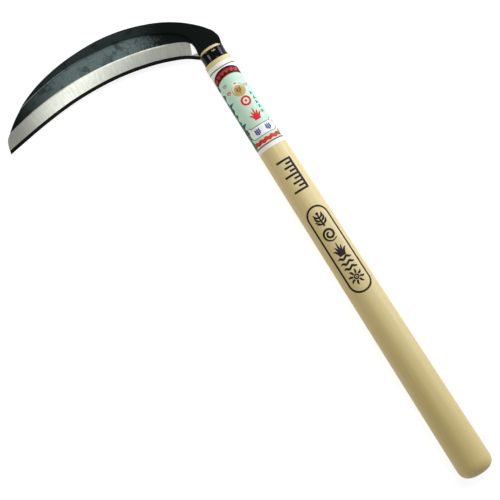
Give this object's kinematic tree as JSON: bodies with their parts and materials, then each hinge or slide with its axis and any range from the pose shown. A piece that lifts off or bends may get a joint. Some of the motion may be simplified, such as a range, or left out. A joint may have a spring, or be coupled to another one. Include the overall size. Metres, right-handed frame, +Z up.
{
  "type": "hand sickle",
  "caption": "One-handed grass sickle: crescent blade with a wide single bevel and laminated edge, on a tang set in a long oval wooden handle with a black ferrule and a printed paper sleeve.",
  "frame": {"origin": "centre of the flat at the handle's butt end, on the handle's axis", "axes": "+X along the handle from the butt to the head; +Y from the handle towards the blade's tip; +Z up, the side of the blade with the ground bevel. The tool lies as on a table: the blade's plane is rolled 3.34 degrees about +X, so that the tip is as low as the underside of the butt"},
  "size_m": [0.4736, 0.2053, 0.0255],
  "materials": {
    "blade_iron": "black forge scale, with a wide satin-ground bevel",
    "hard_steel": "honed bright along the edge",
    "handle_wood": "sanded pale hardwood, no varnish, ink stamped",
    "ferrule_paint": "glossy black enamel",
    "pin_steel": "cut wire, plain",
    "label_paper": "printed coated paper, slight gloss"
  },
  "bodies": {
    "root": {"blade_body": "blade_iron", "edge_steel": "hard_steel", "handle": "handle_wood", "ferrule": "ferrule_paint", "tang_pin": "pin_steel", "paper_label": "label_paper"}
  },
  "joints": []
}
